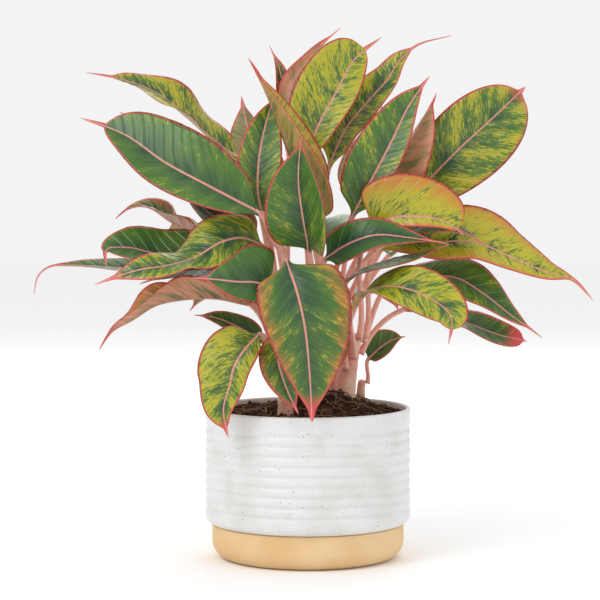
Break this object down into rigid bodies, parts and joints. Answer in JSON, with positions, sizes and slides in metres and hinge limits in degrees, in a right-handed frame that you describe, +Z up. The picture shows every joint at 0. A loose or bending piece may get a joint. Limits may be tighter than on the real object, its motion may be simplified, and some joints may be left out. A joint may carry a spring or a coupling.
{
  "type": "potted chinese evergreen",
  "caption": "Potted Chinese evergreen with red-edged green leaves in a ribbed white pot on a clay saucer.",
  "frame": {"origin": "middle of the saucer's flat underside, on the pot's axis", "axes": "+Z up, +X to the right of the front view, +Y to the back"},
  "size_m": [0.4795, 0.2776, 0.4562],
  "materials": {
    "leaf": "satin",
    "cane": "satin",
    "soil": "matte",
    "white_glaze": "satin",
    "clay": "matte"
  },
  "bodies": {
    "root": {"cane_back": "cane", "cane_far": "cane", "cane_left": "cane", "cane_middle": "cane", "cane_offset": "cane", "cane_right": "cane", "leaf_centre_folded": "leaf", "leaf_centre_olive": "leaf", "leaf_drooping_left": "leaf", "leaf_far_left": "leaf", "leaf_front_hanging": "leaf", "leaf_front_hanging_behind": "leaf", "leaf_front_left_teal": "leaf", "leaf_left_green": "leaf", "leaf_left_pink_hook": "leaf", "leaf_left_red": "leaf", "leaf_left_shaded": "leaf", "leaf_left_twisted": "leaf", "leaf_lower_left_peach": "leaf", "leaf_lower_left_small": "leaf", "leaf_lower_right_piece": "leaf", "leaf_lower_right_small": "leaf", "leaf_rear_high_left": "leaf", "leaf_rear_high_right": "leaf", "leaf_rear_low_left": "leaf", "leaf_rear_low_middle": "leaf", "leaf_rear_low_right": "leaf", "leaf_rear_middle": "leaf", "leaf_rear_middle_left": "leaf", "leaf_rear_middle_right": "leaf", "leaf_right_dark_front": "leaf", "leaf_right_dark_inner": "leaf", "leaf_right_grey_green": "leaf", "leaf_right_lime_arching": "leaf", "leaf_right_long_orange": "leaf", "leaf_right_olive": "leaf", "leaf_right_orange_short": "leaf", "leaf_right_pink_tip": "leaf", "leaf_right_small_lime": "leaf", "leaf_top_left_inner": "leaf", "leaf_top_left_wavy": "leaf", "leaf_top_lime": "leaf", "leaf_top_spike_left": "leaf", "leaf_top_spike_right": "leaf", "leaf_top_twisted_tip": "leaf", "leaf_upper_left": "leaf", "leaf_upper_right": "leaf", "leaf_upright_left": "leaf", "leaf_upright_right": "leaf", "leaf_upright_right_edge": "leaf", "pot": "white_glaze", "saucer": "clay", "soil": "soil"}
  },
  "joints": []
}
